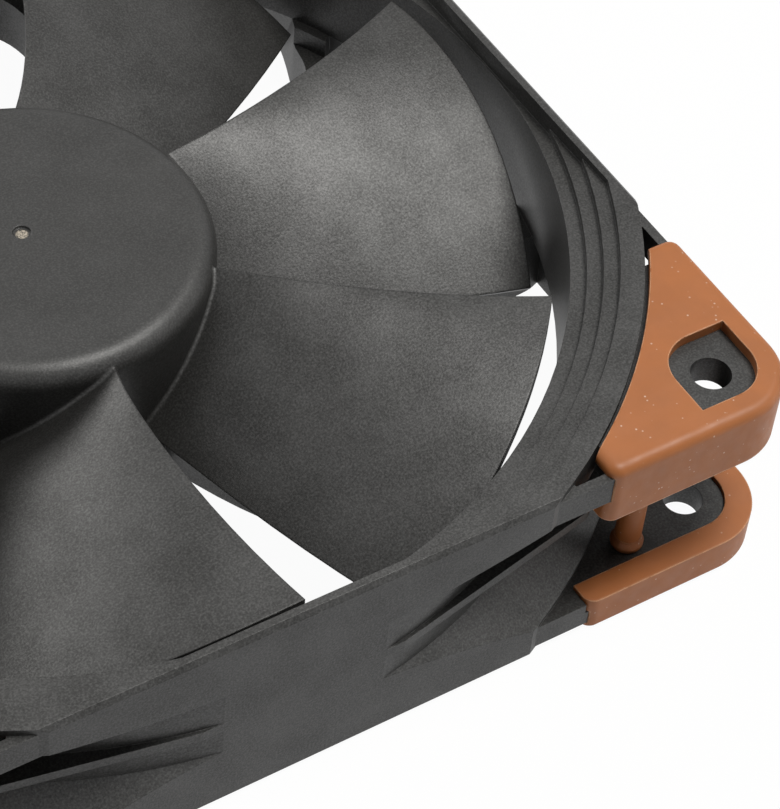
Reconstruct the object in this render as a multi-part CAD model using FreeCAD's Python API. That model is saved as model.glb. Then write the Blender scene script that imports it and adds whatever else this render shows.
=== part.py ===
import FreeCAD, Part
import math
import os

from FreeCAD import Vector

# A 120 mm case fan with silicone corner pads, built as separate pieces.
# Units are millimetres.  Z is the spin axis.  The fan lies on its exhaust-side
# pads at z = 0 and its intake side faces up.  X and Y run along the square's sides.

# ---------------------------------------------------------------- driving sizes
# Frame.  The round body around the duct bulges into the square's corners.
frame_side = 120.0            # outside of the square body
frame_height = 24.5           # moulded frame, without the pads
hole_pitch = 105.0            # screw holes, centre to centre
screw_hole_r = 2.2
side_wall = 1.3               # flat wall at the middle of each side
duct_r = 58.5                 # bore that the blades run in
waist_wall = 2.2              # duct wall between the two corner flares
lower_ring_height = 3.9       # full-radius ring at the exhaust end
upper_ring_height = 4.1       # full-radius ring at the intake end
lower_cone_height = 4.1       # cone between the exhaust ring and the waist
upper_cone_height = 3.3       # cone between the intake ring and the waist
inlet_step_rise = 0.8
inlet_step_run = 1.7
inlet_step_count = 3
inlet_land = 2.6              # flat top outside the last inlet step
exhaust_flare_run = 4.1
exhaust_flare_height = 9.4
edge_bevel = 0.5              # bevel along the outer edges of the intake face
rib_thickness = 1.2           # stiffening rib at mid height in each corner
rib_start = 11.5              # where a rib leaves the flat side, from the middle
rib_slope = 0.2               # how fast the rib falls back from the flat side

# Corner flanges and the pads that clip over them
flange_recess = 0.4           # flange edge behind the flat side
pad_proud = 0.5               # pad face beyond the frame's face
upper_pad_plate = 1.3
lower_pad_plate = 0.8
upper_flange_thickness = 3.5
lower_flange_thickness = 3.2
flange_slot_start = 31.5      # slot between round body and upper flange rim
flange_slot_end = 36.5
flange_rim = 1.1
pad_reach = 35.0              # pad's ends, from the fan's middle
pad_fit = 0.03                # looseness of a pad around its flange's edge
pad_ring_gap = 0.45           # pad's inner edge outside the round body
upper_lip_thickness = 2.9     # pad lip behind the flange
lower_lip_thickness = 1.3
lower_lip_proud = 0.5         # how far the lower pad's lip stands above its flange
pad_lip_width = 3.0
pad_edge_round = 1.2
pad_end_round = 1.4           # upright corners at both ends of a pad
window_half = 4.6             # leaf-shaped window around the screw boss
pin_r = 1.5                   # pads' retention pins
pin_bulge_r = 1.8
pin_bulge_height = 1.6
pin_bulge_lip = 0.4
pin_bulge_gap = 0.05          # between the flange and a pin's swelling
pin_neck_reach = 0.4          # how deep a pin is rooted in its pad's plate
pin_taper = 0.1               # how much thinner the swelling ends than the pin
upper_pin_tail = 4.3
lower_pin_tail = 7.3
pin_along = 43.5              # pin's place along a side, and across it
pin_across = 54.6

# Impeller
blade_count = 7
hub_r = 20.8
hub_wall = 1.5
hub_top_wall = 1.8
hub_round = 2.4
tip_gap = 1.8
hub_top_below_face = 2.4      # hub's top face below the frame's intake face
hub_base_gap = 0.7            # hub's lower edge above the motor base
first_blade_angle = 14.2      # leading tip corner, degrees from +X
blade_lead_drop = 2.5         # leading edge below the intake face
blade_root_lead_drop = 1.2    # how much further it dips at the root
blade_root_fall = 11.4        # height lost from leading to trailing edge
blade_tip_fall = 13.4
blade_root_span = 43.6        # trailing edge behind the datum, degrees
blade_tip_span = 37.2
blade_root_thickness = 1.9
blade_tip_thickness = 1.3
blade_edge_thickness = 0.8
blade_lead_sweep = 4.4        # leading edge at the root, degrees behind its tip corner
blade_lead_curve = 1.6        # exponent of that sweep along the blade
blade_root_hook = 3.0         # degrees by which the leading edge turns forward at the hub
blade_root_hook_curve = 8
blade_root_dip_curve = 6
blade_fall_curve = 1.05       # exponent of the fall along the chord, at the root
blade_fall_curve_gain = 0.75  # what the tip adds to it
blade_swell_curve = 0.8       # below 1 the thickest place moves towards the leading edge
blade_bury = 0.2              # a blade starts this far outside the hub's inner face
blade_samples = 10            # rows along and across a blade
gate_mark_r = 1.0
gate_mark_depth = 0.3

# Motor
air_gap = 0.5
yoke_wall = 1.05
magnet_wall = 2.2
magnet_bottom = 9.3
magnet_top = 18.3
shaft_r = 1.5
bearing_clearance = 0.03      # radial, running
groove_depth = 0.3
clip_width = 0.8
clip_mouth = 1.0
sleeve_r = 3.0
tube_r = 4.0
slip = 0.05                   # radial clearance of parts assembled on the tube
bush_r = 4.2
bush_bottom = 17.7
bush_tube_gap = 0.5           # running height between the bush and the tube
tube_foot_space = 3.5         # room under the sleeve for the shaft's foot
dust_ring_height = 0.6
dust_ring_clearance = 0.25
stabiliser_height = 1.3
thrust_plate_height = 0.75
shaft_foot_gap = 0.05
shaft_foot_round = 0.5
groove_width = 0.5
groove_below_sleeve = 0.35
yoke_skirt_gap = 0.2          # steel cup's edge above the hub's edge
base_r = 20.6
base_floor = 1.8
base_wall = 1.4
base_top = 8.0
label_r = 18.6
label_thickness = 0.25
label_recess = 0.4
boss_wall = 1.4
boss_top = 6.2
board_bottom = 4.6
board_thickness = 1.0
board_r = 18.0
board_boss_gap = 0.15
chip_corner = 0.2
driver_chip_size = (5.0, 4.0, 1.5)
driver_chip_place = (-10.5, -3.0)
capacitor_size = (3.2, 1.6, 1.2)
capacitor_place = (9.5, 6.0)
hall_sensor_r = 14.2          # inner face of the sensor, which stands between two poles
hall_sensor_size = (1.0, 4.0)
hall_sensor_corner = 0.4
hall_magnet_gap = 0.7
label_edge_gap = 0.4
board_post_r = 15.5           # where the three board posts stand
board_post_size = 1.2
board_post_count = 3
board_post_angle = 60.0
cable_notch = 4.5
cable_notch_angle = 117.0
core_bottom = 10.5
core_height = 5.0
insulator_wall = 0.8
pole_count = 4
neck_width = 4.0
neck_start_r = 7.0
shoe_inner_r = 12.9
shoe_half_angle = 36.0
coil_side = 1.9
coil_depth = 1.2
insulator_side = 0.6
cheek_wall = 0.4
winding_pin_r = 0.35
winding_pin_wall = 0.75       # former's lug around a winding pin
former_sleeve_wall = 1.0      # former's sleeve around the bearing boss
coil_round = 1.0
cheek_trim = 6.0              # degrees by which a cheek is narrower than its pole shoe
vane_count = 9
vane_thickness = 1.2
vane_blade_gap = 1.0          # between the vanes and the lowest edge of the rotor
vane_root_angle = 11.5        # degrees, first vane at the motor base
vane_sweep = 15.0             # degrees gained between base and duct
vane_foot = 3.4               # how much a vane thickens where it joins the duct
vane_foot_length = 6.5
vane_shoulder_gap = 0.6       # the vane's high outer end starts this far outside the blades
vane_bury = 1.5               # how far a vane is drawn into the wall before it is trimmed
vane_samples = 23

# ---------------------------------------------------------------- derived sizes
frame_z0 = pad_proud
frame_z1 = frame_z0 + frame_height
total_height = frame_z1 + pad_proud
half_side = frame_side / 2.0
inner_half = half_side - side_wall
flange_half = half_side - flange_recess
hole_at = hole_pitch / 2.0
corner_r = half_side - hole_at
waist_r = duct_r + waist_wall
body_r = duct_r + inlet_step_count * inlet_step_run + inlet_land
exhaust_flare_r = duct_r + exhaust_flare_run
rib_z = (frame_z0 + lower_ring_height + frame_z1 - upper_ring_height) / 2.0
upper_flange_top = total_height - upper_pad_plate
upper_flange_bottom = upper_flange_top - upper_flange_thickness
lower_flange_bottom = lower_pad_plate
lower_flange_top = lower_flange_bottom + lower_flange_thickness
pad_inner_r = body_r + pad_ring_gap
pad_grip_half = flange_half + pad_fit
tip_r = duct_r - tip_gap
blade_root_round = blade_edge_thickness / 2.0
seam_angle = first_blade_angle - blade_root_span - blade_lead_sweep
hub_top = frame_z1 - hub_top_below_face
hub_ceiling = hub_top - hub_top_wall
hub_inner_r = hub_r - hub_wall
hub_bottom = base_top + hub_base_gap
yoke_r = hub_inner_r - slip
yoke_inner_r = yoke_r - yoke_wall
magnet_inner_r = yoke_inner_r - magnet_wall
core_r = magnet_inner_r - air_gap
core_top = core_bottom + core_height
skirt_start_r = neck_start_r + 0.5
coil_start_r = neck_start_r + 0.9
pin_circle_r = neck_start_r + 1.0
pole_turn = 360.0 / pole_count
label_z = frame_z0 + label_recess
tube_bottom = label_z + base_floor / 2.0
tube_top = bush_bottom - bush_tube_gap
boss_r = tube_r + boss_wall
bore_r = sleeve_r
sleeve_bottom = tube_bottom + tube_foot_space
stabiliser_top = tube_bottom + stabiliser_height
thrust_plate_top = stabiliser_top + thrust_plate_height
sleeve_top = tube_top - dust_ring_height
sleeve_fit_r = tube_r + slip
board_top = board_bottom + board_thickness
blade_low = frame_z1 - blade_lead_drop - blade_tip_fall - blade_edge_thickness
vane_top = min(blade_low, hub_bottom) - vane_blade_gap
vane_shoulder_r = tip_r + vane_shoulder_gap

os.makedirs("parts", exist_ok=True)


# ---------------------------------------------------------------- small helpers
def cylinder(radius, z0, z1, x=0.0, y=0.0):
    return Part.makeCylinder(radius, z1 - z0, Vector(x, y, z0))


def ring(outer, inner, z0, z1):
    return cylinder(outer, z0, z1).cut(cylinder(inner, z0 - 1.0, z1 + 1.0))


def block(x0, x1, y0, y1, z0, z1):
    return Part.makeBox(x1 - x0, y1 - y0, z1 - z0, Vector(x0, y0, z0))


def polygon_prism(points, z0, z1):
    corners = [Vector(x, y, z0) for x, y in points]
    wire = Part.makePolygon(corners + corners[:1])
    return Part.Face(wire).extrude(Vector(0, 0, z1 - z0))


def turned(profile):
    """Solid of revolution about Z from (radius, z) corners."""
    corners = [Vector(r, 0, z) for r, z in profile]
    wire = Part.makePolygon(corners + corners[:1])
    return Part.Face(wire).revolve(Vector(0, 0, 0), Vector(0, 0, 1), 360)


def rotated(shape, degrees):
    copy = shape.copy()
    copy.rotate(Vector(0, 0, 0), Vector(0, 0, 1), degrees)
    return copy


def polar(radius, degrees):
    angle = math.radians(degrees)
    return radius * math.cos(angle), radius * math.sin(angle)


def rounded_square(half, radius, z0, z1):
    """Upright square plate with rounded corners."""
    body = block(-half, half, -half, half, z0, z1)
    return body.makeFillet(radius, upright_edges(body))


def upright_edges(shape):
    found = []
    for edge in shape.Edges:
        a = edge.Vertexes[0].Point
        b = edge.Vertexes[-1].Point
        if math.hypot(a.x - b.x, a.y - b.y) < 1e-6 and abs(a.z - b.z) > 1e-6:
            found.append(edge)
    return found


def one_solid(shape):
    """Merge leftover seams and check that the piece is a single solid."""
    clean = shape.removeSplitter()
    if len(clean.Solids) != 1:
        raise ValueError("expected one solid, found %d" % len(clean.Solids))
    return clean.Solids[0]


def export(shape, node):
    shape.exportStep("parts/" + node + ".step")


# ---------------------------------------------------------------- frame
def body_outline():
    """Outside of the duct: two full rings, two cones and a waist between them."""
    ring_z0 = frame_z0 + lower_ring_height
    ring_z1 = frame_z1 - upper_ring_height
    return turned([
        (0, frame_z0), (body_r, frame_z0), (body_r, ring_z0),
        (waist_r, ring_z0 + lower_cone_height), (waist_r, ring_z1 - upper_cone_height),
        (body_r, ring_z1), (body_r, frame_z1), (0, frame_z1)])


def bevelled_square():
    """The square envelope of the body, with its outer edges bevelled at the intake face."""
    body = block(-half_side, half_side, -half_side, half_side, frame_z0, frame_z1)
    rims = [e for e in body.Edges if abs(e.BoundBox.ZMin - frame_z1) < 1e-6]
    return body.makeChamfer(edge_bevel, rims)


def corner_rib():
    """Flat rib around the waist that falls back from the flat sides at a small slope."""
    meet = (half_side + rib_slope * rib_start) / (1.0 + rib_slope)
    quarter = [(rib_start, -half_side), (meet, -meet), (half_side, -rib_start)]
    points = []
    for turn in range(4):
        angle = math.radians(90 * turn)
        for x, y in quarter:
            points.append((x * math.cos(angle) - y * math.sin(angle),
                           x * math.sin(angle) + y * math.cos(angle)))
    plate = polygon_prism(points, rib_z - rib_thickness / 2.0, rib_z + rib_thickness / 2.0)
    return plate.common(cylinder(body_r, frame_z0, frame_z1))


def flange_slots(z0, z1):
    """Slots between the round body and the flange rim, two at each corner."""
    outer = flange_half - flange_rim
    slot = block(flange_slot_start, flange_slot_end, -outer, -body_r * 0.7, z0, z1)
    slot = slot.cut(cylinder(body_r - 0.01, z0 - 1, z1 + 1))
    mirrored = slot.mirror(Vector(0, 0, 0), Vector(1, 0, 0))
    slots = []
    for turn in range(4):
        slots.append(rotated(slot, 90 * turn))
        slots.append(rotated(mirrored, 90 * turn))
    return slots


def corner_places():
    return [(sx * hole_at, sy * hole_at) for sx in (-1, 1) for sy in (-1, 1)]


def pin_places():
    """Pin centres at the front right corner."""
    return [(pin_along, -pin_across), (pin_across, -pin_along)]


def flange(z0, z1):
    """Corner flange plate: square with rounded corners, outside the round body."""
    plate = rounded_square(flange_half, corner_r - flange_recess, z0, z1)
    plate = plate.cut(cylinder(body_r - 1.0, z0 - 1, z1 + 1))
    for x, y in corner_places():
        plate = plate.cut(cylinder(screw_hole_r, z0 - 1, z1 + 1, x, y))
    for turn in range(4):
        for x, y in pin_places():
            hole = rotated(cylinder(pin_r + slip, z0 - 1, z1 + 1, x, y), 90 * turn)
            plate = plate.cut(hole)
    return plate


def lip_rebate(z0, z1):
    """Strip along a flange's edge that is thinned for the pad's lip."""
    outer = rounded_square(flange_half + 1, corner_r - flange_recess + 1, z0, z1)
    inner_half_width = half_side - pad_lip_width
    inner = rounded_square(inner_half_width, corner_r - pad_lip_width, z0 - 1, z1 + 1)
    strip = outer.cut(inner)
    corners = pad_corner(z0 - 1, z1 + 1)
    pieces = [strip.common(rotated(corners, 90 * turn)) for turn in range(4)]
    return pieces


def duct_cavity():
    """Bore, inlet steps and exhaust flare.  The steps and the flare stop at flat walls."""
    cavity = cylinder(duct_r, frame_z0 - 1, frame_z1 + 1)
    envelope = block(-inner_half, inner_half, -inner_half, inner_half,
                     frame_z0 - 1, frame_z1 + 1)
    for step in range(1, inlet_step_count + 1):
        radius = duct_r + inlet_step_run * (inlet_step_count + 1 - step)
        depth = inlet_step_rise * step
        cavity = cavity.fuse(cylinder(radius, frame_z1 - depth, frame_z1 + 1).common(envelope))
    flare = turned([(0, frame_z0 + exhaust_flare_height), (duct_r, frame_z0 + exhaust_flare_height),
                    (exhaust_flare_r, frame_z0), (exhaust_flare_r, frame_z0 - 1),
                    (0, frame_z0 - 1)])
    return cavity.fuse(flare.common(envelope))


def vane(first_angle):
    """One guide vane from the motor base to the duct wall, swept forward as it goes out.

    It stays low under the blades.  Outside them it thickens and rises to the top of the flare.
    """
    start_r = base_r - base_wall / 2.0
    end_r = exhaust_flare_r + vane_bury
    left, right = [], []
    for i in range(vane_samples):
        radius = start_r + (end_r - start_r) * i / (vane_samples - 1.0)
        share = (radius - start_r) / (duct_r - start_r)
        angle = math.radians(first_angle + vane_sweep * share ** 2)
        turn = math.radians(2 * vane_sweep * share) * radius / (duct_r - start_r)
        heading = angle + math.atan(turn)
        x, y = radius * math.cos(angle), radius * math.sin(angle)
        foot = min(max(radius - duct_r + vane_foot_length, 0.0) / vane_foot_length, 1.0)
        half = (vane_thickness + vane_foot * foot ** 2) / 2.0
        across = (-math.sin(heading) * half, math.cos(heading) * half)
        left.append(Vector(x + across[0], y + across[1], frame_z0))
        right.append(Vector(x - across[0], y - across[1], frame_z0))
    side_a = Part.BSplineCurve()
    side_a.interpolate(left)
    side_b = Part.BSplineCurve()
    side_b.interpolate(right[::-1])
    edges = [side_a.toShape(), Part.makeLine(left[-1], right[-1]),
             side_b.toShape(), Part.makeLine(right[0], left[0])]
    face = Part.Face(Part.Wire(edges))
    blank = face.extrude(Vector(0, 0, exhaust_flare_height))
    return blank.cut(cylinder(vane_shoulder_r, vane_top, frame_z1))


def motor_base():
    """Shallow cup that carries the motor, with bearing boss, board posts and cable notch."""
    cup = cylinder(base_r, frame_z0, base_top)
    floor_top = label_z + base_floor
    cup = cup.cut(cylinder(base_r - base_wall, floor_top, base_top + 1))
    cup = cup.fuse(cylinder(boss_r, floor_top - 0.5, boss_top))
    for turn in range(board_post_count):
        x, y = polar(board_post_r, board_post_angle + 360.0 * turn / board_post_count)
        cup = cup.fuse(cylinder(board_post_size, floor_top - 0.5, board_bottom, x, y))
    cup = cup.cut(cylinder(label_r, frame_z0 - 1, label_z))
    cup = cup.cut(cylinder(tube_r, tube_bottom, boss_top + 1))
    notch = block(base_r - 2 * base_wall, base_r + 1, -cable_notch / 2.0, cable_notch / 2.0,
                  floor_top, base_top + 1)
    return cup.cut(rotated(notch, cable_notch_angle))


def make_frame():
    solid_body = body_outline().common(bevelled_square())
    body = solid_body.fuse(corner_rib()).cut(duct_cavity())
    upper = flange(upper_flange_bottom, upper_flange_top)
    for slot in flange_slots(upper_flange_bottom - 1, upper_flange_top + 1):
        upper = upper.cut(slot)
    lower = flange(lower_flange_bottom, lower_flange_top)
    for strip in lip_rebate(lower_flange_top - lower_lip_thickness, lower_flange_top + 1):
        lower = lower.cut(strip)
    body = body.fuse([upper, lower])
    base = motor_base()
    keep = body_outline().common(bevelled_square()).cut(cylinder(base_r - base_wall / 2.0, -1, 30))
    vanes = [vane(vane_root_angle + i * 360.0 / vane_count).common(keep) for i in range(vane_count)]
    return one_solid(body.fuse([base] + vanes))


# ---------------------------------------------------------------- corner pads
def pad_corner(z0, z1):
    """Region of the front right corner that a pad covers."""
    return block(pad_reach, half_side + 5, -half_side - 5, -pad_reach, z0, z1)


def pad_plan(z0, z1):
    """Pad outline: rounded outer corner and ends, and an inner edge around the body."""
    plate = rounded_square(half_side, corner_r, z0, z1).common(pad_corner(z0, z1))
    plate = plate.cut(cylinder(pad_inner_r, z0 - 1, z1 + 1))
    ends = []
    for edge in upright_edges(plate):
        x, y = abs(edge.Vertexes[0].X), abs(edge.Vertexes[0].Y)
        if min(x, y) < pad_reach + 1e-6 and max(x, y) > half_side - 1e-6:
            ends.append(edge)
    return plate.makeFillet(pad_end_round, ends)


def leaf_window(z0, z1):
    """Window around the screw boss: round, with two opposite corners drawn out square."""
    leaf = cylinder(window_half, z0, z1, hole_at, -hole_at)
    for sign in (-1, 1):
        xs = sorted((hole_at, hole_at + sign * window_half))
        ys = sorted((-hole_at, -hole_at + sign * window_half))
        leaf = leaf.fuse(block(xs[0], xs[1], ys[0], ys[1], z0, z1))
    return leaf


def flange_grip(z0, z1):
    """The space that the flange takes inside a pad."""
    return rounded_square(pad_grip_half, pad_grip_half - hole_at, z0, z1)


def inside_lip(z0, z1):
    """Everything inward of the lip that a pad hooks behind the flange."""
    inner = half_side - pad_lip_width + pad_fit
    return rounded_square(inner, inner - hole_at, z0, z1)


def retention_pins(flange_near, flange_far, direction, tail_length):
    """Two pins that pull through the flange; each swells behind it and ends in a tail."""
    neck_start = flange_near - direction * pin_neck_reach
    swell = flange_far + direction * pin_bulge_gap
    swell_end = swell + direction * pin_bulge_height
    tail_end = flange_far + direction * tail_length
    pins = []
    for x, y in pin_places():
        pin = cylinder(pin_r, min(neck_start, swell_end), max(neck_start, swell_end), x, y)
        profile = [(0, swell), (pin_r, swell), (pin_bulge_r, swell + direction * pin_bulge_lip),
                   (pin_bulge_r, swell + direction * 2 * pin_bulge_lip),
                   (pin_r - pin_taper, swell_end), (0, swell_end)]
        bulge = turned(profile[::direction])
        bulge.translate(Vector(x, y, 0))
        tail = cylinder(pin_r - pin_taper / 2.0, min(swell, tail_end), max(swell, tail_end), x, y)
        pins.append(pin.fuse([bulge, tail]))
    return pins


def round_rims(shape):
    return [e for e in shape.Edges if isinstance(e.Curve, Part.Circle)]


def outer_rims(shape, z):
    """Edges at height z that lie on the pad's outer faces or its ends."""
    found = []
    for edge in shape.Edges:
        box = edge.BoundBox
        if abs(box.ZMin - z) > 1e-6 or abs(box.ZMax - z) > 1e-6:
            continue
        middle = edge.valueAt((edge.FirstParameter + edge.LastParameter) / 2.0)
        near_side = max(abs(middle.x), abs(middle.y)) > half_side - corner_r * 0.3 - 1e-6
        if near_side and math.hypot(middle.x, middle.y) > pad_inner_r + 0.5:
            found.append(edge)
    return found


def upper_pad():
    bottom = upper_flange_bottom - upper_lip_thickness
    pad = pad_plan(bottom, total_height)
    pad = pad.makeFillet(pad_edge_round, outer_rims(pad, total_height))
    pad = pad.cut(flange_grip(upper_flange_bottom, upper_flange_top))
    pad = pad.cut(inside_lip(bottom - 1, upper_flange_bottom))
    pad = pad.cut(leaf_window(upper_flange_top - 0.5, total_height + 1))
    pins = retention_pins(upper_flange_top, upper_flange_bottom, -1, upper_pin_tail)
    return one_solid(pad.fuse(pins))


def lower_pad():
    top = lower_flange_top + lower_lip_proud
    pad = pad_plan(0, top)
    pad = pad.makeFillet(lower_pad_plate * 0.6, outer_rims(pad, 0))
    pad = pad.cut(flange_grip(lower_flange_bottom, lower_flange_top - lower_lip_thickness))
    pad = pad.cut(inside_lip(lower_flange_bottom, top + 1))
    pad = pad.cut(leaf_window(-1, lower_flange_bottom + 0.5))
    pins = retention_pins(lower_flange_bottom, lower_flange_top, 1, lower_pin_tail)
    return one_solid(pad.fuse(pins))


# ---------------------------------------------------------------- impeller
def blade_share(radius):
    return (radius - hub_r) / (tip_r - hub_r)


def blade_point(radius, s):
    """Upper surface of a blade: s runs from the leading edge (0) to the trailing edge (1)."""
    w = blade_share(radius)
    inner = max(0.0, 1.0 - w)
    lead = blade_lead_sweep * (1.0 - max(w, 0.0) ** blade_lead_curve)
    lead -= blade_root_hook * inner ** blade_root_hook_curve
    trail = blade_root_span + (blade_tip_span - blade_root_span) * w
    lead_z = -blade_lead_drop - blade_root_lead_drop * inner ** blade_root_dip_curve
    drop = blade_root_fall + (blade_tip_fall - blade_root_fall) * w
    power = blade_fall_curve + blade_fall_curve_gain * w
    clockwise = math.radians(lead + (trail - lead) * s)
    return clockwise, frame_z1 + lead_z - drop * s ** power


def blade_thickness(radius, s):
    """Section thickness: full behind the leading edge, thin at both edges."""
    middle = blade_root_thickness - (blade_root_thickness - blade_tip_thickness) * blade_share(radius)
    swell = math.sin(math.pi * s ** blade_swell_curve)
    return blade_edge_thickness + (middle - blade_edge_thickness) * swell


def blade_rows(radius, count):
    """Matching rows of points on the upper and lower surfaces at one radius."""
    upper, lower = [], []
    step = 1e-3
    for i in range(count + 1):
        s = i / float(count)
        angle, z = blade_point(radius, s)
        near = blade_point(radius, max(0.0, s - step))
        far = blade_point(radius, min(1.0, s + step))
        along = radius * (far[0] - near[0])
        fall = far[1] - near[1]
        length = math.hypot(along, fall)
        for row, offset in ((upper, 0.0), (lower, -blade_thickness(radius, s))):
            clockwise = angle - offset * fall / length / radius
            theta = math.radians(first_blade_angle) - clockwise
            height = z + offset * along / length
            row.append(Vector(radius * math.cos(theta), radius * math.sin(theta), height))
    return upper, lower


def blade():
    """Twisted blade: two smooth surfaces closed by ruled strips, trimmed at the tip."""
    start, end = hub_r - hub_wall + blade_bury, tip_r + 1.0
    radii = [start + (end - start) * i / blade_samples for i in range(blade_samples + 1)]
    rows = [blade_rows(radius, blade_samples) for radius in radii]
    top = Part.BSplineSurface()
    top.interpolate([pair[0] for pair in rows])
    under = Part.BSplineSurface()
    under.interpolate([pair[1] for pair in rows])
    u0, u1, v0, v1 = top.bounds()
    a0, a1, b0, b1 = under.bounds()
    faces = [top.toShape(), under.toShape()]
    pairs = [(top.uIso(u0), under.uIso(a0)), (top.uIso(u1), under.uIso(a1)),
             (top.vIso(v0), under.vIso(b0)), (top.vIso(v1), under.vIso(b1))]
    for curve_a, curve_b in pairs:
        faces.append(Part.makeRuledSurface(curve_a.toShape(), curve_b.toShape()))
    shell = Part.Shell(faces)
    shell.sewShape()
    body = Part.Solid(shell)
    if body.Volume < 0:
        body.reverse()
    return body.common(cylinder(tip_r, 0, total_height))


def root_edges(shape):
    """The long edges where the blades meet the outside of the hub."""
    found = []
    for edge in shape.Edges:
        samples = [edge.valueAt(edge.FirstParameter + share *
                                (edge.LastParameter - edge.FirstParameter))
                   for share in (0.0, 0.5, 1.0)]
        on_hub = all(abs(math.hypot(p.x, p.y) - hub_r) < 0.02 for p in samples)
        climbs = abs(samples[0].z - samples[2].z) > 0.9
        goes_round = math.hypot(samples[0].x - samples[2].x, samples[0].y - samples[2].y) > 0.9
        if on_hub and climbs and goes_round:
            found.append(edge)
    return found


def make_impeller():
    hub = cylinder(hub_r, hub_bottom, hub_top)
    rim = [e for e in round_rims(hub) if e.Vertexes[0].Z > hub_bottom + 1]
    # The cylinder's seam is turned into the gap between two blade roots.
    hub = rotated(hub.makeFillet(hub_round, rim), seam_angle)
    one_blade = blade()
    blades = [rotated(one_blade, i * 360.0 / blade_count) for i in range(blade_count)]
    body = hub.fuse(blades)
    body = body.makeFillet(blade_root_round, root_edges(body))
    body = body.cut(cylinder(hub_inner_r, hub_bottom - 5, hub_ceiling))
    body = body.cut(cylinder(gate_mark_r, hub_top - gate_mark_depth, hub_top + 1))
    return one_solid(body)


# ---------------------------------------------------------------- rotor metalwork
def make_yoke():
    cup = cylinder(yoke_r, hub_bottom + yoke_skirt_gap, hub_ceiling)
    cup = cup.cut(cylinder(yoke_inner_r, hub_bottom - 1, hub_ceiling - yoke_wall))
    return cup.cut(cylinder(bush_r, 0, hub_top))


def make_bush():
    body = cylinder(bush_r, bush_bottom, hub_ceiling)
    return body.cut(cylinder(shaft_r, 0, hub_top))


def shaft_groove():
    """Heights of the groove for the retaining ring, just under the sleeve."""
    top = sleeve_bottom - groove_below_sleeve
    return top - groove_width, top


def make_shaft():
    foot = thrust_plate_top + shaft_foot_gap
    rod = cylinder(shaft_r, foot, hub_ceiling)
    ends = [e for e in round_rims(rod) if e.Vertexes[0].Z < foot + 1]
    rod = rod.makeFillet(shaft_foot_round, ends)
    z0, z1 = shaft_groove()
    return rod.cut(ring(shaft_r + 1, shaft_r - groove_depth, z0, z1))


def make_retaining_ring():
    z0, z1 = shaft_groove()
    clip = ring(shaft_r + clip_width, shaft_r - groove_depth + slip / 2.0, z0 + slip, z1 - slip)
    return clip.cut(block(0, shaft_r + 2 * clip_width, -clip_mouth / 2.0, clip_mouth / 2.0, z0, z1))


# ---------------------------------------------------------------- bearing
def make_bearing_tube():
    return ring(tube_r, bore_r, tube_bottom, tube_top)


def make_stabiliser_magnet():
    return cylinder(bore_r, tube_bottom, stabiliser_top)


def make_thrust_plate():
    return cylinder(bore_r, stabiliser_top, thrust_plate_top)


def make_sleeve():
    return ring(bore_r, shaft_r + bearing_clearance, sleeve_bottom, sleeve_top)


def make_dust_ring():
    return ring(bore_r, shaft_r + dust_ring_clearance, sleeve_top, tube_top)


# ---------------------------------------------------------------- stator
def sector_ring(outer, inner, half_angle, z0, z1):
    """Part of a ring centred on +X."""
    reach = outer * 2
    x, y = polar(reach, half_angle)
    wedge = polygon_prism([(0, 0), (x, -y), (reach, 0), (x, y)], z0, z1)
    return ring(outer, inner, z0, z1).common(wedge)


def make_core():
    core = ring(neck_start_r + 0.5, sleeve_fit_r, core_bottom, core_top)
    for pole in range(pole_count):
        neck = block(neck_start_r, shoe_inner_r + 0.5, -neck_width / 2.0, neck_width / 2.0,
                     core_bottom, core_top)
        shoe = sector_ring(core_r, shoe_inner_r, shoe_half_angle, core_bottom, core_top)
        core = core.fuse([rotated(neck, pole_turn * pole), rotated(shoe, pole_turn * pole)])
    return one_solid(core)


def make_insulator(end_z, direction, hub_end):
    """Plastic former half: plate, neck channels, cheeks, pin lugs and a sleeve round the tube."""
    face = end_z + direction * insulator_wall
    z0, z1 = min(end_z, face), max(end_z, face)
    skirt_end = end_z - direction * (core_height / 2.0 - slip)
    side = neck_width / 2.0
    former = ring(skirt_start_r, sleeve_fit_r, z0, z1)
    sleeve = ring(boss_r + former_sleeve_wall, sleeve_fit_r, min(z0, hub_end), max(z1, hub_end))
    lugs = []
    for pole in range(pole_count):
        x, y = polar(pin_circle_r, pole_turn * (pole + 0.5))
        lugs.append(cylinder(winding_pin_r + winding_pin_wall, z0, z1, x, y))
    former = former.fuse([sleeve] + lugs)
    cheek_end = end_z + direction * (insulator_wall + coil_depth)
    for pole in range(pole_count):
        arm = block(neck_start_r, shoe_inner_r, -side - insulator_side, side + insulator_side, z0, z1)
        skirts = []
        for sign in (-1, 1):
            ys = sorted((sign * side, sign * (side + insulator_side)))
            skirts.append(block(skirt_start_r, shoe_inner_r - cheek_wall - 0.02, ys[0], ys[1],
                                min(skirt_end, z0), max(skirt_end, z1)))
        cheek = sector_ring(shoe_inner_r + cheek_wall, shoe_inner_r - cheek_wall,
                            shoe_half_angle - cheek_trim, min(z0, cheek_end), max(z1, cheek_end))
        shapes = [rotated(piece, pole_turn * pole) for piece in [arm, cheek] + skirts]
        former = former.fuse(shapes)
    return one_solid(former)


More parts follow.
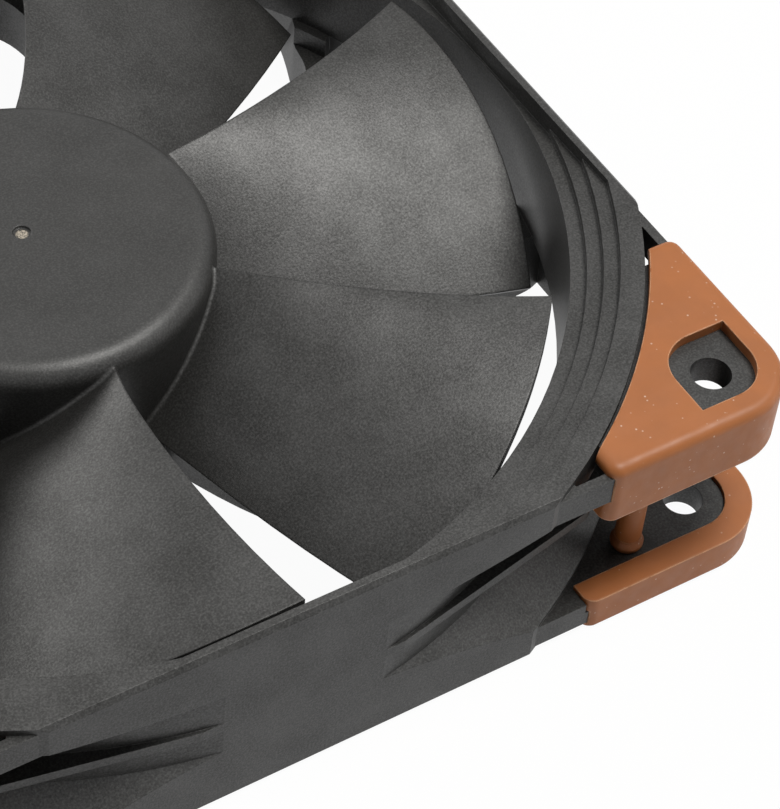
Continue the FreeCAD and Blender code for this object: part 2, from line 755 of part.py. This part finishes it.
def make_coil(pole):
    """One winding around a pole's neck, drawn as a rounded bundle."""
    half_width = neck_width / 2.0 + insulator_side
    x0, x1 = coil_start_r, shoe_inner_r - cheek_wall - 0.1
    z0 = core_bottom - insulator_wall
    z1 = core_top + insulator_wall
    bundle = block(x0, x1, -half_width - coil_side, half_width + coil_side,
                   z0 - coil_depth, z1 + coil_depth)
    along = [e for e in bundle.Edges if abs(e.Vertexes[0].X - e.Vertexes[-1].X) > 1.0]
    bundle = bundle.makeFillet(coil_round, along)
    bundle = bundle.cut(block(x0 - 1, x1 + 1, -half_width, half_width, z0, z1))
    bundle = bundle.common(cylinder(x1, z0 - 5, z1 + 5))
    return rotated(bundle, pole_turn * pole)


def make_winding_pins():
    """Four pins that carry the winding ends from the lower former to the board."""
    pins = []
    for pole in range(pole_count):
        x, y = polar(pin_circle_r, pole_turn * (pole + 0.5))
        pins.append(cylinder(winding_pin_r, board_bottom - 0.5, core_bottom - insulator_wall, x, y))
    return Part.makeCompound(pins)


# ---------------------------------------------------------------- electronics
def make_board():
    board = ring(board_r, boss_r + board_boss_gap, board_bottom, board_top)
    for pole in range(pole_count):
        x, y = polar(pin_circle_r, pole_turn * (pole + 0.5))
        board = board.cut(cylinder(winding_pin_r + slip, board_bottom - 1, board_top + 1, x, y))
    return one_solid(board)


def chip_body(size, x, y):
    """Small part on the underside of the board."""
    length, width, height = size
    body = block(x - length / 2, x + length / 2, y - width / 2, y + width / 2,
                 board_bottom - height, board_bottom)
    return body.makeChamfer(chip_corner, upright_edges(body))


def make_driver_chip():
    return chip_body(driver_chip_size, *driver_chip_place)


def make_hall_sensor():
    depth, width = hall_sensor_size
    body = block(hall_sensor_r, hall_sensor_r + depth, -width / 2, width / 2,
                 board_top, magnet_bottom - hall_magnet_gap)
    return rotated(body.makeChamfer(hall_sensor_corner, upright_edges(body)), pole_turn / 2.0)


def make_capacitor(side):
    return chip_body(capacitor_size, capacitor_place[0], side * capacitor_place[1])


def make_label():
    return cylinder(label_r - label_edge_gap, label_z - label_thickness, label_z)


# ---------------------------------------------------------------- write the pieces
def main():
    export(make_frame(), "frame")
    export(make_impeller(), "impeller")
    export(make_yoke(), "rotor_yoke")
    export(ring(yoke_inner_r, magnet_inner_r, magnet_bottom, magnet_top), "rotor_magnet")
    export(make_bush(), "shaft_bush")
    export(make_shaft(), "shaft")
    export(make_retaining_ring(), "retaining_ring")
    export(make_bearing_tube(), "bearing_tube")
    export(make_sleeve(), "bearing_sleeve")
    export(make_dust_ring(), "dust_ring")
    export(make_thrust_plate(), "thrust_plate")
    export(make_stabiliser_magnet(), "stabiliser_magnet")
    export(make_core(), "stator_core")
    export(make_insulator(core_top, 1, core_top + insulator_wall), "insulator_upper")
    export(make_insulator(core_bottom, -1, boss_top), "insulator_lower")
    for pole in range(pole_count):
        export(make_coil(pole), "coil_%d" % (pole + 1))
    export(make_winding_pins(), "winding_pins")
    export(make_board(), "circuit_board")
    export(make_driver_chip(), "driver_chip")
    export(make_hall_sensor(), "hall_sensor")
    export(make_capacitor(1), "capacitor_a")
    export(make_capacitor(-1), "capacitor_b")
    export(make_label(), "base_label")
    corners = ["front_right", "rear_right", "rear_left", "front_left"]
    upper = upper_pad()
    lower = lower_pad()
    for turn, corner in enumerate(corners):
        export(rotated(upper, 90 * turn), "pad_upper_" + corner)
        export(rotated(lower, 90 * turn), "pad_lower_" + corner)


main()
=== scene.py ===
import math

import bpy
from mathutils import Matrix, Vector

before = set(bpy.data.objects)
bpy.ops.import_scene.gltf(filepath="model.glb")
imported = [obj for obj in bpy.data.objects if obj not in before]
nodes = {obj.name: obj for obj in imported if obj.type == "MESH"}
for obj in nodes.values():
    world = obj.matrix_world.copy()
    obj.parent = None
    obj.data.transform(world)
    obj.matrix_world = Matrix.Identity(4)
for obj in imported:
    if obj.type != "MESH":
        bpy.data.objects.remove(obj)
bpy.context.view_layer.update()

# ---------------------------------------------------------------- sizes, in metres unless said otherwise
MM = 0.001
WHITE = (1.0, 1.0, 1.0, 1.0)

CAMERA_PLACE = Vector((-99.01, -202.77, 249.47)) * MM
CAMERA_AZIMUTH = -36.4465         # degrees, 0 looks along +Y
CAMERA_ELEVATION = 48.1483        # degrees
CAMERA_ROLL = 6.2102              # degrees
CAMERA_LENS = 132.965             # millimetres
CAMERA_SENSOR = 36.0              # millimetres, on the picture's long side
CAMERA_NEAR = 0.01
CAMERA_FAR = 20.0

FLOOR_HALF = 1.6
FLOOR_GAP = 0.05 * MM             # keeps the floor off the pads' flat faces
FLOOR_COLOUR = (0.8, 0.8, 0.8, 1.0)
FLOOR_ROUGHNESS = 0.9
FLOOR_WHITE_SHARE = 0.96          # the rest is lit as usual, and keeps the fan's shadow
WORLD_WHITE_SHARE = 1.0
AMBIENT = 0.02                    # strength of the world's own light

LIGHT_DISTANCE = 0.9
LIGHT_SIZE = 0.40
LIGHT_COLOUR = (1.0, 0.985, 0.95)
# name, direction from the fan, power in watts
LIGHTS = [
    ("overhead_softbox", (0.30, -0.16, 0.94), 8.3),
    ("rear_softbox", (-0.30, 0.83, 0.47), 2.5),
    ("front_right_card", (0.88, -0.45, 0.16), 0.8),
]

# ---------------------------------------------------------------- looks: lengths are in millimetres here
NOISE_BODY = (0.3, 0.7)           # nearly all values of a noise lie in here
NOISE_MIDDLE = (0.35, 0.65)       # a tighter range, for more contrast
PLAIN_DETAIL = 2.0                # how many finer layers a noise has
FINE_DETAIL = 3.0
SOFT_DETAIL = 1.0
BEVEL_SAMPLES = 6
SPECULAR = 0.5                    # specular level of plain plastic

CHARCOAL = (0.0125, 0.0122, 0.0115)
PLASTIC_ROUGHNESS = 0.47
FRAME_EDGE = 0.07                 # how far the shading rounds the sharp edges
IMPELLER_EDGE = 0.3
GRAIN_SIZE = 0.23
GRAIN_ROUGHNESS = 0.55            # weight of the finer layers of the grain
GRAIN_DEPTH = 0.018
GRAIN_PEAKS = (0.5, 0.75)         # the values of the grain that turn paler
PEAK_SHADE = 1.8
SPARKLE = 0.17                    # how far the grain moves the specular level
CLOUD_SIZE = 6.0
CLOUD_DRIFT = 0.07                # how far the clouds move the specular level
PATCH_SIZE = 9.0
PATCH_SHADES = (0.9, 1.12)
HUB_EDGE = (19.5, 21.0)           # off the axis: inside it the cap, outside it the blades
HUB_GRAIN = 0.55                  # how much of the grain is left on the cap
# the painted highlight on the gate stub: where it lies, its grain and its colour
STUB_GLINT_EDGE = (0.75, 0.55)          # off the axis
STUB_GLINT_GRAIN = (0.35, 0.55)
STUB_GLINT_COLOUR = (0.42, 0.37, 0.30)

SILICONE = (0.315, 0.101, 0.023)
PAD_EDGE = 0.3
PAD_ROUGHNESS = (0.46, 0.56)
PAD_GLOSS_SIZE = 1.4
MOTTLE_SIZE = 3.5
MOTTLE_SHADES = (0.93, 1.07)
SPECK_SPACING = 0.9
SPECK_EDGE = (0.15, 0.07)         # in parts of the spacing
SPECK_PATCH_SIZE = 2.4
SPECK_PATCHES = (0.46, 0.58)      # below it no specks, above it all of them
SPECK_SHARE = 0.5
SPECK_COLOUR = (0.80, 0.70, 0.62)
# paler pad edges: partly wear, partly a painted highlight along the edges
WEAR_AND_HIGHLIGHT_TURN = (0.99, 0.88)          # cosine of the turn from face to bevel: from no wear to full wear, and the painted edge highlight with it
WEAR_AND_HIGHLIGHT_SIZE = 1.2
WEAR_AND_HIGHLIGHT_PATCHES = (0.3, 0.5)
WEAR_AND_HIGHLIGHT_SHARE = 0.8
WEAR_AND_HIGHLIGHT_COLOUR = (0.66, 0.36, 0.20)
WAVE_SIZE = 4.0
WAVE_DEPTH = 0.12
SKIN_SIZE = 0.5
SKIN_DEPTH = 0.012

SMALL_EDGE = 0.08                 # for the pieces inside the hub
METAL_LINE_SIZE = 0.4
METAL_LINE_DEPTH = 0.006
METAL_SHADES = (0.85, 1.1)
METAL_SPREAD = (-0.06, 0.08)      # how far the lines move the roughness
DULL_SHADES = (0.88, 1.1)
DULL_GRAIN_SIZE = 0.3
DULL_GRAIN_DEPTH = 0.01
FILM_GRAIN_SIZE = 0.8

WIRE_PITCH = 0.3
WIRE_DEPTH = 0.08
# copper painted darker in the grooves as shade and paler on the crests as highlight
WIRE_GROOVE_SHADE = (0.35, 0.12, 0.05)
WIRE_CREST_HIGHLIGHT = (0.8, 0.36, 0.16)
WIRE_ROUGHNESS = 0.34
WIRE_METALLIC = 0.9

TRACK_SPACING = 1.6
TRACK_EDGE = (0.06, 0.1)          # in parts of the spacing
TRACK_DEPTH = 0.03
TRACK_COLOUR = (0.10, 0.30, 0.12)
BOARD_COLOUR = (0.02, 0.11, 0.05)
BOARD_ROUGHNESS = 0.35


# ---------------------------------------------------------------- node helpers
class Shader:
    """A material being built from nodes, with short calls for what this scene needs."""

    def __init__(self, name):
        self.material = bpy.data.materials.new(name)
        self.material.use_nodes = True
        self.tree = self.material.node_tree
        self.tree.nodes.clear()
        output = self.new("OutputMaterial")
        self.surface = self.new("BsdfPrincipled")
        self.link(self.surface.outputs["BSDF"], output.inputs["Surface"])
        coordinates = self.new("TexCoord")
        scale = self.new("VectorMath", operation="SCALE")
        scale.inputs["Scale"].default_value = 1.0 / MM
        self.link(coordinates.outputs["Object"], scale.inputs[0])
        self.millimetres = scale.outputs[0]

    def new(self, kind, **settings):
        """Add a node of a kind, with its settings, such as an operation."""
        node = self.tree.nodes.new("ShaderNode" + kind)
        for name, value in settings.items():
            setattr(node, name, value)
        return node

    def link(self, source, target):
        self.tree.links.new(source, target)

    def put(self, node, socket, value):
        """Link the value if it is a socket, and set it if it is a number or a colour."""
        if isinstance(value, bpy.types.NodeSocket):
            self.link(value, node.inputs[socket])
        else:
            node.inputs[socket].default_value = value

    def put_colour(self, node, socket, value):
        if not isinstance(value, bpy.types.NodeSocket):
            value = (*value, 1.0)
        self.put(node, socket, value)

    def noise(self, size, detail=PLAIN_DETAIL, roughness=0.5, stretch=None):
        """Noise whose lumps are about size millimetres across."""
        place = self.millimetres
        if stretch:
            place = self.vector("MULTIPLY", place, stretch).outputs["Vector"]
        node = self.new("TexNoise")
        self.link(place, node.inputs["Vector"])
        node.inputs["Scale"].default_value = 1.0 / size
        node.inputs["Detail"].default_value = detail
        node.inputs["Roughness"].default_value = roughness
        return node.outputs["Fac"]

    def cells(self, size, feature="F1"):
        """Distance in a pattern of cells that are about size millimetres apart."""
        node = self.new("TexVoronoi", feature=feature)
        self.link(self.millimetres, node.inputs["Vector"])
        node.inputs["Scale"].default_value = 1.0 / size
        return node.outputs["Distance"]

    def vector(self, operation, *values):
        """A node that works on vectors, such as positions and directions."""
        node = self.new("VectorMath", operation=operation)
        for socket, value in enumerate(values):
            self.put(node, socket, value)
        return node

    def off_axis(self):
        """Distance from the spin axis in millimetres."""
        flat = self.vector("MULTIPLY", self.millimetres, (1.0, 1.0, 0.0))
        return self.vector("LENGTH", flat.outputs["Vector"]).outputs["Value"]

    def math(self, operation, *values):
        node = self.new("Math", operation=operation)
        for socket, value in enumerate(values):
            self.put(node, socket, value)
        return node.outputs[0]

    def remap(self, value, old, new=(0.0, 1.0)):
        """Stretch the range old to the range new, and hold the value inside it."""
        node = self.new("MapRange")
        self.put(node, "Value", value)
        node.inputs["From Min"].default_value = old[0]
        node.inputs["From Max"].default_value = old[1]
        node.inputs["To Min"].default_value = new[0]
        node.inputs["To Max"].default_value = new[1]
        return node.outputs["Result"]

    def mix(self, share, first, second):
        """A colour between the first, at a share of 0, and the second, at 1."""
        node = self.new("Mix", data_type="RGBA")
        self.put(node, "Factor", share)
        # the sockets for colours, among others for numbers and vectors
        first_colour, second_colour, result = 6, 7, 2
        self.put_colour(node, first_colour, first)
        self.put_colour(node, second_colour, second)
        return node.outputs[result]

    def height(self, value, depth, below=None):
        """Bump of the given depth in millimetres, on top of the one below."""
        node = self.new("Bump")
        node.inputs["Distance"].default_value = depth * MM
        self.link(value, node.inputs["Height"])
        if below is not None:
            self.link(below, node.inputs["Normal"])
        return node.outputs["Normal"]

    def soft_edges(self, radius):
        """The surface's direction, rounded over sharp edges by a radius in millimetres."""
        node = self.new("Bevel", samples=BEVEL_SAMPLES)
        node.inputs["Radius"].default_value = radius * MM
        return node.outputs["Normal"]

    def edge_wear_and_highlight(self, radius):
        """1 along sharp edges and 0 on the faces, from how far a bevel would turn the surface."""
        face = self.new("NewGeometry").outputs["Normal"]
        turn = self.vector("DOT_PRODUCT", self.soft_edges(radius), face)
        return self.remap(turn.outputs["Value"], WEAR_AND_HIGHLIGHT_TURN)

    def finish(self, colour, roughness, normal, metallic=0.0, specular=SPECULAR):
        """Lead everything to the surface, and give back the material."""
        self.put_colour(self.surface, "Base Color", colour)
        self.put(self.surface, "Roughness", roughness)
        self.put(self.surface, "Normal", normal)
        self.put(self.surface, "Metallic", metallic)
        self.put(self.surface, "Specular IOR Level", specular)
        return self.material


def shade(colour, factor):
    return tuple(channel * factor for channel in colour)


def shaded(shader, share, colour, shades):
    """The colour in a darker and a lighter shade, mixed by the share."""
    return shader.mix(share, shade(colour, shades[0]), shade(colour, shades[1]))


# ---------------------------------------------------------------- materials
def charcoal_plastic(name, edge, hub=False):
    """Glass-filled plastic from a spark-eroded mould: sparkling grain with faint clouds.

    The hub cap is a little smoother than the blades around it, and its gate stub carries a painted
    highlight, a paler colour.
    """
    shader = Shader(name)
    grain = shader.noise(GRAIN_SIZE, roughness=GRAIN_ROUGHNESS)
    clouds = shader.noise(CLOUD_SIZE, detail=FINE_DETAIL)
    patches = shader.noise(PATCH_SIZE)
    tone = shaded(shader, shader.remap(patches, NOISE_MIDDLE), CHARCOAL, PATCH_SHADES)
    tone = shader.mix(shader.remap(grain, GRAIN_PEAKS), tone, shade(CHARCOAL, PEAK_SHADE))
    strength = 1.0
    if hub:
        radius = shader.off_axis()
        strength = shader.remap(radius, HUB_EDGE, (HUB_GRAIN, 1.0))
        # the paler gate stub is a painted highlight
        stub = shader.math("MULTIPLY", shader.remap(radius, STUB_GLINT_EDGE), shader.remap(grain, STUB_GLINT_GRAIN))
        tone = shader.mix(stub, tone, STUB_GLINT_COLOUR)
    sparkle = shader.math("MULTIPLY", shader.remap(grain, NOISE_BODY, (-SPARKLE, SPARKLE)), strength)
    drift = shader.remap(clouds, NOISE_MIDDLE, (-CLOUD_DRIFT, CLOUD_DRIFT))
    drift = shader.math("MULTIPLY", drift, strength)
    shine = shader.math("ADD", shader.math("ADD", sparkle, drift), SPECULAR)
    normal = shader.height(grain, GRAIN_DEPTH, shader.soft_edges(edge))
    return shader.finish(tone, PLASTIC_ROUGHNESS, normal, specular=shine)


def pad_silicone():
    """Soft satin silicone with a faint skin texture, a few pale dust specks, and paler edges that are
    partly wear and partly a painted highlight.
    """
    shader = Shader("pad_silicone_look")
    mottle = shader.noise(MOTTLE_SIZE, detail=FINE_DETAIL)
    tone = shaded(shader, shader.remap(mottle, NOISE_BODY), SILICONE, MOTTLE_SHADES)

    patches = shader.remap(shader.noise(SPECK_PATCH_SIZE), SPECK_PATCHES)
    specks = shader.math("MULTIPLY", shader.remap(shader.cells(SPECK_SPACING), SPECK_EDGE), patches)
    tone = shader.mix(shader.math("MULTIPLY", specks, SPECK_SHARE), tone, SPECK_COLOUR)

    # the paler edges are partly wear and partly a painted highlight along them
    patches = shader.remap(shader.noise(WEAR_AND_HIGHLIGHT_SIZE, detail=FINE_DETAIL), WEAR_AND_HIGHLIGHT_PATCHES)
    worn_and_highlit = shader.math("MULTIPLY", shader.edge_wear_and_highlight(PAD_EDGE), patches)
    tone = shader.mix(shader.math("MULTIPLY", worn_and_highlit, WEAR_AND_HIGHLIGHT_SHARE), tone, WEAR_AND_HIGHLIGHT_COLOUR)

    waves = shader.noise(WAVE_SIZE, detail=SOFT_DETAIL)
    normal = shader.height(waves, WAVE_DEPTH, shader.soft_edges(PAD_EDGE))
    normal = shader.height(shader.noise(SKIN_SIZE), SKIN_DEPTH, normal)
    gloss = shader.remap(shader.noise(PAD_GLOSS_SIZE), NOISE_BODY, PAD_ROUGHNESS)
    return shader.finish(tone, gloss, normal)


def metal(name, colour, roughness, brushed=(1.0, 1.0, 1.0)):
    """Bare metal with fine lines, drawn out along the axes where brushed is small."""
    shader = Shader(name)
    lines = shader.noise(METAL_LINE_SIZE, detail=FINE_DETAIL, stretch=brushed)
    tone = shaded(shader, shader.remap(lines, NOISE_BODY), colour, METAL_SHADES)
    gloss = shader.remap(lines, NOISE_BODY, (roughness + METAL_SPREAD[0], roughness + METAL_SPREAD[1]))
    normal = shader.height(lines, METAL_LINE_DEPTH, shader.soft_edges(SMALL_EDGE))
    return shader.finish(tone, gloss, normal, metallic=1.0)


def dull(name, colour, roughness, grain_size=DULL_GRAIN_SIZE):
    """Plastic, ferrite, ceramic or film with a fine grain."""
    shader = Shader(name)
    grain = shader.noise(grain_size, detail=FINE_DETAIL)
    tone = shaded(shader, shader.remap(grain, NOISE_BODY), colour, DULL_SHADES)
    normal = shader.height(grain, DULL_GRAIN_DEPTH, shader.soft_edges(SMALL_EDGE))
    return shader.finish(tone, roughness, normal)


def copper_winding():
    """Enamelled wire, shown as ridges at an even pitch away from the spin axis, with painted shade in
    the grooves between turns and a painted highlight on their crests.
    """
    shader = Shader("copper_look")
    ridges = shader.math("SINE", shader.math("MULTIPLY", shader.off_axis(), 2 * math.pi / WIRE_PITCH))
    ridges = shader.remap(ridges, (-1.0, 1.0))
    # painted shade in the grooves between turns, painted highlight on the crests
    tone = shader.mix(ridges, WIRE_GROOVE_SHADE, WIRE_CREST_HIGHLIGHT)
    return shader.finish(tone, WIRE_ROUGHNESS, shader.height(ridges, WIRE_DEPTH), WIRE_METALLIC)


def circuit_board():
    """Green varnish crossed by paler tracks, which lie a little lower."""
    shader = Shader("board_look")
    varnish = shader.remap(shader.cells(TRACK_SPACING, "DISTANCE_TO_EDGE"), TRACK_EDGE)
    tone = shader.mix(varnish, TRACK_COLOUR, BOARD_COLOUR)
    return shader.finish(tone, BOARD_ROUGHNESS, shader.height(varnish, TRACK_DEPTH))


# name of the material, colour, roughness
LOOKS = {
    "frame": charcoal_plastic("frame_look", FRAME_EDGE),
    "impeller": charcoal_plastic("blade_look", IMPELLER_EDGE, hub=True),
    "rotor_yoke": metal("yoke_look", (0.55, 0.55, 0.56), 0.35),
    "rotor_magnet": dull("ferrite_look", (0.06, 0.06, 0.065), 0.6),
    "shaft": metal("shaft_look", (0.72, 0.72, 0.73), 0.18, brushed=(1.0, 1.0, 6.0)),
    "shaft_bush": metal("bush_look", (0.72, 0.52, 0.22), 0.3),
    "bearing_tube": metal("tube_look", (0.75, 0.55, 0.24), 0.28),
    "bearing_sleeve": metal("sleeve_look", (0.42, 0.28, 0.14), 0.5),
    "stator_core": metal("lamination_look", (0.4, 0.41, 0.43), 0.4, brushed=(0.3, 0.3, 8.0)),
    "stabiliser_magnet": metal("nickel_look", (0.62, 0.6, 0.56), 0.25),
    "winding_pins": metal("tin_look", (0.75, 0.75, 0.74), 0.25),
    "thrust_plate": dull("nylon_look", (0.75, 0.74, 0.7), 0.4),
    "driver_chip": dull("chip_look", (0.025, 0.025, 0.027), 0.4),
    "circuit_board": circuit_board(),
    "coil_1": copper_winding(),
    "insulator_upper": dull("former_look", (0.6, 0.57, 0.48), 0.45),
    "capacitor_a": dull("ceramic_look", (0.45, 0.32, 0.2), 0.35),
    "base_label": dull("film_look", (0.05, 0.05, 0.052), 0.38, FILM_GRAIN_SIZE),
}
SAME_LOOK = {
    "dust_ring": "thrust_plate",
    "retaining_ring": "thrust_plate",
    "insulator_lower": "insulator_upper",
    "hall_sensor": "driver_chip",
    "capacitor_b": "capacitor_a",
    "coil_2": "coil_1",
    "coil_3": "coil_1",
    "coil_4": "coil_1",
}
PADS = pad_silicone()


def dress_nodes():
    for name, node in nodes.items():
        look = PADS if name.startswith("pad_") else LOOKS[SAME_LOOK.get(name, name)]
        node.data.materials.clear()
        node.data.materials.append(look)


# ---------------------------------------------------------------- floor and background
def show(tree, share, first, second, output):
    """Lead a mix of two shaders to the output: the first at a share of 0, the second at 1."""
    mix = tree.nodes.new("ShaderNodeMixShader")
    for socket, source in enumerate((share, first, second)):
        tree.links.new(source, mix.inputs[socket])
    tree.links.new(mix.outputs[0], output.inputs["Surface"])


def white_for_the_eye(tree, lit, output, share):
    """Seen directly, through glass or in a reflection, the surface is plain white; the rest is lit."""
    path = tree.nodes.new("ShaderNodeLightPath")
    seen = path.outputs["Is Camera Ray"]
    for kind in ("Is Transmission Ray", "Is Glossy Ray"):
        either = tree.nodes.new("ShaderNodeMath")
        either.operation = "MAXIMUM"
        tree.links.new(seen, either.inputs[0])
        tree.links.new(path.outputs[kind], either.inputs[1])
        seen = either.outputs[0]
    weight = tree.nodes.new("ShaderNodeMath")
    weight.operation = "MULTIPLY"
    weight.inputs[1].default_value = share
    tree.links.new(seen, weight.inputs[0])
    white = tree.nodes.new("ShaderNodeEmission")
    white.inputs["Color"].default_value = WHITE
    white.inputs["Strength"].default_value = 1.0
    show(tree, weight.outputs[0], lit.outputs[0], white.outputs[0], output)


def clear_from_below(tree, output):
    """Let the camera look up through the surface, and leave its upper side as it is."""
    upper = output.inputs["Surface"].links[0].from_socket
    underside = tree.nodes.new("ShaderNodeNewGeometry").outputs["Backfacing"]
    clear = tree.nodes.new("ShaderNodeBsdfTransparent")
    show(tree, underside, upper, clear.outputs[0], output)


def make_floor():
    mesh = bpy.data.meshes.new("floor")
    half = FLOOR_HALF
    level = -FLOOR_GAP
    corners = [(-half, -half, level), (half, -half, level), (half, half, level), (-half, half, level)]
    mesh.from_pydata(corners, [], [(0, 1, 2, 3)])
    floor = bpy.data.objects.new("floor", mesh)
    bpy.context.scene.collection.objects.link(floor)
    material = bpy.data.materials.new("floor_look")
    material.use_nodes = True
    tree = material.node_tree
    lit = tree.nodes["Principled BSDF"]
    lit.inputs["Base Color"].default_value = FLOOR_COLOUR
    lit.inputs["Roughness"].default_value = FLOOR_ROUGHNESS
    white_for_the_eye(tree, lit, tree.nodes["Material Output"], FLOOR_WHITE_SHARE)
    clear_from_below(tree, tree.nodes["Material Output"])
    mesh.materials.append(material)


def make_world():
    world = bpy.data.worlds.new("studio")
    bpy.context.scene.world = world
    world.use_nodes = True
    tree = world.node_tree
    ambient = tree.nodes["Background"]
    ambient.inputs["Color"].default_value = WHITE
    ambient.inputs["Strength"].default_value = AMBIENT
    white_for_the_eye(tree, ambient, tree.nodes["World Output"], WORLD_WHITE_SHARE)


# ---------------------------------------------------------------- lights and camera
def make_light(name, direction, power):
    data = bpy.data.lights.new(name, "AREA")
    data.shape = "DISK"
    data.size = LIGHT_SIZE
    data.energy = power
    data.color = LIGHT_COLOUR
    lamp = bpy.data.objects.new(name, data)
    away = Vector(direction).normalized()
    lamp.location = away * LIGHT_DISTANCE
    lamp.rotation_euler = away.to_track_quat("Z", "Y").to_euler()
    bpy.context.scene.collection.objects.link(lamp)


def make_camera():
    azimuth = math.radians(CAMERA_AZIMUTH)
    elevation = math.radians(CAMERA_ELEVATION)
    roll = math.radians(CAMERA_ROLL)
    side = Vector((math.cos(azimuth), math.sin(azimuth), 0.0))
    back = Vector((math.sin(azimuth) * math.cos(elevation),
                   -math.cos(azimuth) * math.cos(elevation), math.sin(elevation)))
    up = back.cross(side)
    right = math.cos(roll) * side + math.sin(roll) * up
    top = -math.sin(roll) * side + math.cos(roll) * up
    data = bpy.data.cameras.new("camera")
    data.sensor_width = CAMERA_SENSOR
    data.lens = CAMERA_LENS
    data.clip_start = CAMERA_NEAR
    data.clip_end = CAMERA_FAR
    camera = bpy.data.objects.new("camera", data)
    turn = Matrix((right, top, back)).transposed().to_4x4()
    camera.matrix_world = Matrix.Translation(CAMERA_PLACE) @ turn
    bpy.context.scene.collection.objects.link(camera)
    bpy.context.scene.camera = camera


dress_nodes()
make_floor()
make_world()
for light in LIGHTS:
    make_light(*light)
make_camera()
bpy.context.scene.view_settings.view_transform = "Standard"
